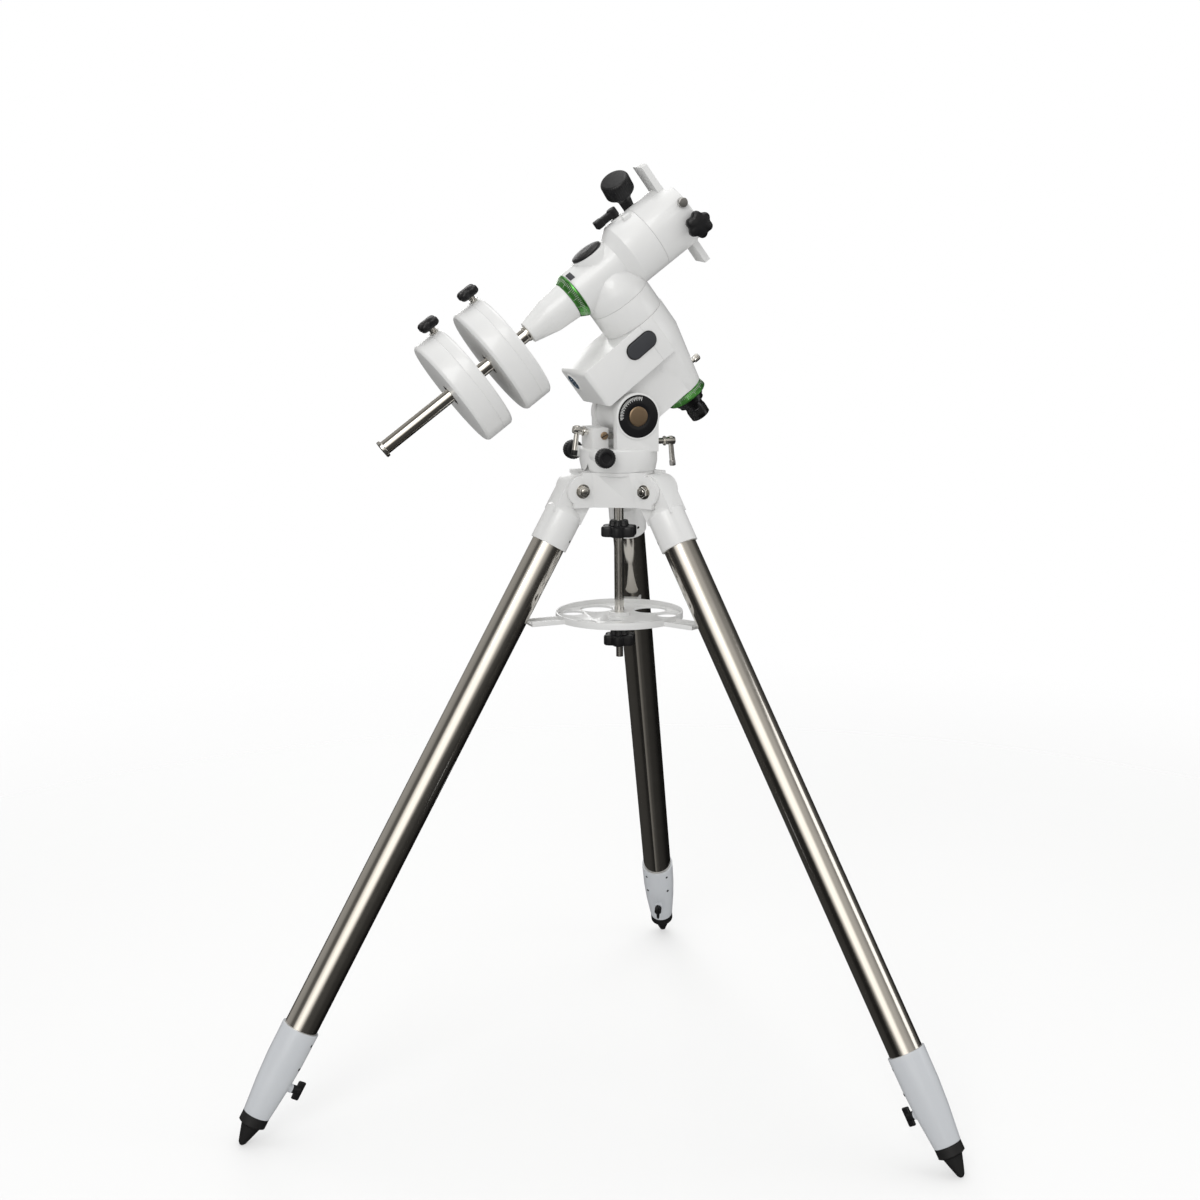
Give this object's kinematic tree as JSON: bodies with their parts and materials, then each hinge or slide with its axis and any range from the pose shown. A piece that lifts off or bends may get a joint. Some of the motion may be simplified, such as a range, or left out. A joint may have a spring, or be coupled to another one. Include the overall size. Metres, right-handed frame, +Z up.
{
  "type": "equatorial mount",
  "caption": "White equatorial telescope mount on a steel tripod, with counterweights, a tray and a dovetail saddle, for tracking the sky about a polar axis.",
  "frame": {"origin": "on the floor, on the tripod's vertical axis, which is also the azimuth axis", "axes": "+X points south, away from the counterweights, +Y points east, +Z is up; the polar axis lies in the XZ plane"},
  "size_m": [0.8187, 0.9374, 1.2515],
  "materials": {
    "bare_alloy": "machined",
    "black_alloy": "black anodised",
    "black_dial": "gloss",
    "black_plastic": "fine texture",
    "black_rubber": "matt",
    "bronze": "machined",
    "dark_plug": "matt",
    "green_anodised": "anodised, turned",
    "grey_enamel": "satin enamel",
    "grey_steel": "brushed",
    "plated_steel": "bright plated",
    "polished_steel": "polished stainless",
    "white_enamel": "satin enamel"
  },
  "bodies": {
    "tripod_head": {"tripod_hub": "white_enamel", "leg_pivot_bolts": "plated_steel", "mount_lock_shaft": "plated_steel"},
    "north_leg": {"north_leg_casting": "white_enamel", "north_leg_tube": "polished_steel", "north_leg_collar": "grey_enamel"},
    "north_inner_leg": {"north_leg_extension": "grey_steel", "north_foot": "black_rubber"},
    "north_clamp": {"north_clamp_knob": "black_plastic"},
    "southwest_leg": {"southwest_leg_casting": "white_enamel", "southwest_leg_tube": "polished_steel", "southwest_leg_collar": "grey_enamel"},
    "southwest_inner_leg": {"southwest_leg_extension": "grey_steel", "southwest_foot": "black_rubber"},
    "southwest_clamp": {"southwest_clamp_knob": "black_plastic"},
    "southeast_leg": {"southeast_leg_casting": "white_enamel", "southeast_leg_tube": "polished_steel", "southeast_leg_collar": "grey_enamel"},
    "southeast_inner_leg": {"southeast_leg_extension": "grey_steel", "southeast_foot": "black_rubber"},
    "southeast_clamp": {"southeast_clamp_knob": "black_plastic"},
    "tray": {"accessory_tray": "white_enamel"},
    "tray_knob": {"tray_lock_knob": "black_plastic"},
    "lock_knob": {"mount_lock_knob": "black_plastic"},
    "azimuth_base": {"azimuth_base": "white_enamel", "altitude_axle": "grey_steel", "latitude_dial": "black_dial"},
    "west_azimuth_knob": {"west_azimuth_knob": "black_plastic"},
    "east_azimuth_knob": {"east_azimuth_knob": "black_plastic"},
    "ra_body": {"ra_housing": "white_enamel", "ra_drive_cover": "white_enamel", "drive_cover_plug": "dark_plug"},
    "south_bolt": {"south_altitude_bolt": "plated_steel"},
    "north_bolt": {"north_altitude_bolt": "plated_steel"},
    "dec_body": {"dec_housing": "white_enamel", "ra_neck": "white_enamel", "ra_shaft": "bare_alloy", "ra_worm_wheel": "bronze", "polar_scope": "black_alloy", "dec_worm_wheel": "bronze"},
    "ra_worm": {"ra_slow_motion_knob": "black_plastic"},
    "ring_screw": {"ring_lock_screw": "plated_steel"},
    "ra_circle": {"ra_setting_ring": "green_anodised"},
    "ra_clutch": {"ra_clutch_lever": "black_plastic"},
    "dec_clutch": {"dec_clutch_lever": "black_plastic"},
    "bore_cap": {"polar_bore_cap": "black_plastic"},
    "dec_axis": {"dec_head": "white_enamel", "dec_shaft": "grey_steel", "dec_worm_block": "white_enamel", "shaft_cone": "white_enamel", "counterweight_shaft": "polished_steel"},
    "dec_worm": {"dec_slow_motion_knob": "black_plastic"},
    "dec_circle": {"dec_setting_ring": "green_anodised"},
    "saddle_knob": {"saddle_clamp_knob": "black_plastic"},
    "safety_screw": {"saddle_safety_screw": "grey_steel"},
    "end_stop": {"shaft_end_stop": "plated_steel"},
    "inner_weight": {"inner_counterweight": "white_enamel"},
    "inner_weight_lock": {"inner_weight_knob": "black_plastic"},
    "outer_weight": {"outer_counterweight": "white_enamel"},
    "outer_weight_lock": {"outer_weight_knob": "black_plastic"}
  },
  "joints": [
    {"name": "north_leg_fold", "type": "hinge", "parent": "tripod_head", "child": "north_leg", "pos_m": [-0.06, 0, 0.832], "axis": [0, 1, 0], "range_deg": [-27, 0]},
    {"name": "north_leg_extend", "type": "slide", "parent": "north_leg", "child": "north_inner_leg", "axis": [-0.4977, 0, -0.8673], "range_m": [0, 0.45]},
    {"name": "north_clamp_turn", "type": "hinge", "parent": "north_leg", "child": "north_clamp", "pos_m": [-0.49266, 0, 0.07806], "axis": [0.8673, 0, -0.4977], "continuous": true},
    {"name": "southwest_leg_fold", "type": "hinge", "parent": "tripod_head", "child": "southwest_leg", "pos_m": [0.03, -0.05196, 0.832], "axis": [-0.866, -0.5, 0], "range_deg": [-27, 0]},
    {"name": "southwest_leg_extend", "type": "slide", "parent": "southwest_leg", "child": "southwest_inner_leg", "axis": [0.2489, -0.431, -0.8673], "range_m": [0, 0.45]},
    {"name": "southwest_clamp_turn", "type": "hinge", "parent": "southwest_leg", "child": "southwest_clamp", "pos_m": [0.24633, -0.42666, 0.07806], "axis": [-0.4337, 0.7511, -0.4977], "continuous": true},
    {"name": "southeast_leg_fold", "type": "hinge", "parent": "tripod_head", "child": "southeast_leg", "pos_m": [0.03, 0.05196, 0.832], "axis": [0.866, -0.5, 0], "range_deg": [-27, 0]},
    {"name": "southeast_leg_extend", "type": "slide", "parent": "southeast_leg", "child": "southeast_inner_leg", "axis": [0.2489, 0.431, -0.8673], "range_m": [0, 0.45]},
    {"name": "southeast_clamp_turn", "type": "hinge", "parent": "southeast_leg", "child": "southeast_clamp", "pos_m": [0.24633, 0.42666, 0.07806], "axis": [-0.4337, -0.7511, -0.4977], "continuous": true},
    {"name": "tray_lower", "type": "slide", "parent": "tripod_head", "child": "tray", "axis": [0, 0, -1], "range_m": [0, 0.98]},
    {"name": "tray_knob_turn", "type": "hinge", "parent": "tray", "child": "tray_knob", "pos_m": [0, 0, 0.664], "axis": [0, 0, 1], "continuous": true},
    {"name": "mount_lock_turn", "type": "hinge", "parent": "tripod_head", "child": "lock_knob", "pos_m": [0, 0, 0.766], "axis": [0, 0, 1], "continuous": true},
    {"name": "azimuth", "type": "hinge", "parent": "tripod_head", "child": "azimuth_base", "pos_m": [0, 0, 0.8563], "axis": [0, 0, 1], "range_deg": [-8, 8]},
    {"name": "west_azimuth_push", "type": "slide", "parent": "azimuth_base", "child": "west_azimuth_knob", "axis": [0, 1, 0], "range_m": [-0.006, 0.006]},
    {"name": "east_azimuth_push", "type": "slide", "parent": "azimuth_base", "child": "east_azimuth_knob", "axis": [0, 1, 0], "range_m": [-0.006, 0.006]},
    {"name": "altitude", "type": "hinge", "parent": "azimuth_base", "child": "ra_body", "pos_m": [0.0096, 0, 0.9289], "axis": [0, 1, 0], "range_deg": [-25, 15]},
    {"name": "south_bolt_push", "type": "slide", "parent": "azimuth_base", "child": "south_bolt", "axis": [-1, 0, 0], "range_m": [-0.016, 0.01]},
    {"name": "north_bolt_push", "type": "slide", "parent": "azimuth_base", "child": "north_bolt", "axis": [-0.9774, 0, 0.2113], "range_m": [-0.009, 0.006]},
    {"name": "right_ascension", "type": "hinge", "parent": "ra_body", "child": "dec_body", "pos_m": [-0.02179, 0, 1.11016], "axis": [-0.6052, 0, 0.7961], "range_deg": [-120, 120]},
    {"name": "ra_worm_turn", "type": "hinge", "parent": "ra_body", "child": "ra_worm", "pos_m": [-0.00153, 0, 1.00749], "axis": [0, 1, 0], "continuous": true},
    {"name": "ring_screw_turn", "type": "hinge", "parent": "ra_body", "child": "ring_screw", "pos_m": [0.08109, 0, 0.97482], "axis": [0.7961, 0, 0.6052], "continuous": true},
    {"name": "ra_circle_turn", "type": "hinge", "parent": "dec_body", "child": "ra_circle", "pos_m": [0.10045, 0, 0.94935], "axis": [-0.6052, 0, 0.7961], "continuous": true},
    {"name": "ra_clutch_turn", "type": "hinge", "parent": "dec_body", "child": "ra_clutch", "pos_m": [0.0124, 0, 1.06518], "axis": [0, 1, 0], "range_deg": [-20, 20]},
    {"name": "dec_clutch_turn", "type": "hinge", "parent": "dec_body", "child": "dec_clutch", "pos_m": [0.02417, -0.00553, 1.1451], "axis": [-0.6052, 0, 0.7961], "range_deg": [-40, 40]},
    {"name": "bore_cap_pull", "type": "slide", "parent": "dec_body", "child": "bore_cap", "axis": [-0.6052, 0, 0.7961], "range_m": [0, 0.02]},
    {"name": "declination", "type": "hinge", "parent": "dec_body", "child": "dec_axis", "pos_m": [-0.02179, 0, 1.11016], "axis": [0.7925, -0.0953, 0.6024], "continuous": true},
    {"name": "dec_worm_turn", "type": "hinge", "parent": "dec_axis", "child": "dec_worm", "pos_m": [0.04123, 0.03436, 1.17877], "axis": [-0.5922, -0.3567, 0.7226], "continuous": true},
    {"name": "dec_circle_turn", "type": "hinge", "parent": "dec_axis", "child": "dec_circle", "pos_m": [-0.05666, 0.00419, 1.08366], "axis": [-0.7925, 0.0953, -0.6024], "continuous": true},
    {"name": "saddle_knob_turn", "type": "hinge", "parent": "dec_axis", "child": "saddle_knob", "pos_m": [0.09131, -0.01244, 1.17604], "axis": [-0.0759, -0.9954, -0.0577], "continuous": true},
    {"name": "safety_screw_turn", "type": "hinge", "parent": "dec_axis", "child": "safety_screw", "pos_m": [0.07074, -0.01244, 1.2031], "axis": [-0.0759, -0.9954, -0.0577], "continuous": true},
    {"name": "end_stop_turn", "type": "hinge", "parent": "dec_axis", "child": "end_stop", "pos_m": [-0.30629, 0.03422, 0.8939], "axis": [-0.7925, 0.0953, -0.6024], "continuous": true},
    {"name": "inner_weight_slide", "type": "slide", "parent": "dec_axis", "child": "inner_weight", "axis": [-0.7925, 0.0953, -0.6024], "range_m": [-0.018, 0.018]},
    {"name": "inner_weight_lock_turn", "type": "hinge", "parent": "inner_weight", "child": "inner_weight_lock", "pos_m": [-0.14463, 0.01477, 1.01679], "axis": [-0.6052, 0, 0.7961], "continuous": true},
    {"name": "outer_weight_slide", "type": "slide", "parent": "dec_axis", "child": "outer_weight", "axis": [-0.7925, 0.0953, -0.6024], "range_m": [-0.018, 0.1]},
    {"name": "outer_weight_lock_turn", "type": "hinge", "parent": "outer_weight", "child": "outer_weight_lock", "pos_m": [-0.19534, 0.02088, 0.97824], "axis": [-0.6052, 0, 0.7961], "continuous": true}
  ],
  "couplings": [
    {"joint": "southwest_leg_fold", "follows": "north_leg_fold", "ratio": 1},
    {"joint": "southeast_leg_fold", "follows": "north_leg_fold", "ratio": 1},
    {"joint": "tray_lower", "follows": "north_leg_fold", "m_per_rad": -2.0626},
    {"joint": "west_azimuth_push", "follows": "azimuth", "m_per_rad": 0.04074},
    {"joint": "east_azimuth_push", "follows": "azimuth", "m_per_rad": 0.04074},
    {"joint": "south_bolt_push", "follows": "altitude", "m_per_rad": 0.03492},
    {"joint": "north_bolt_push", "follows": "altitude", "m_per_rad": 0.018},
    {"joint": "ra_worm_turn", "follows": "right_ascension", "ratio": 144},
    {"joint": "dec_worm_turn", "follows": "declination", "ratio": 144}
  ]
}
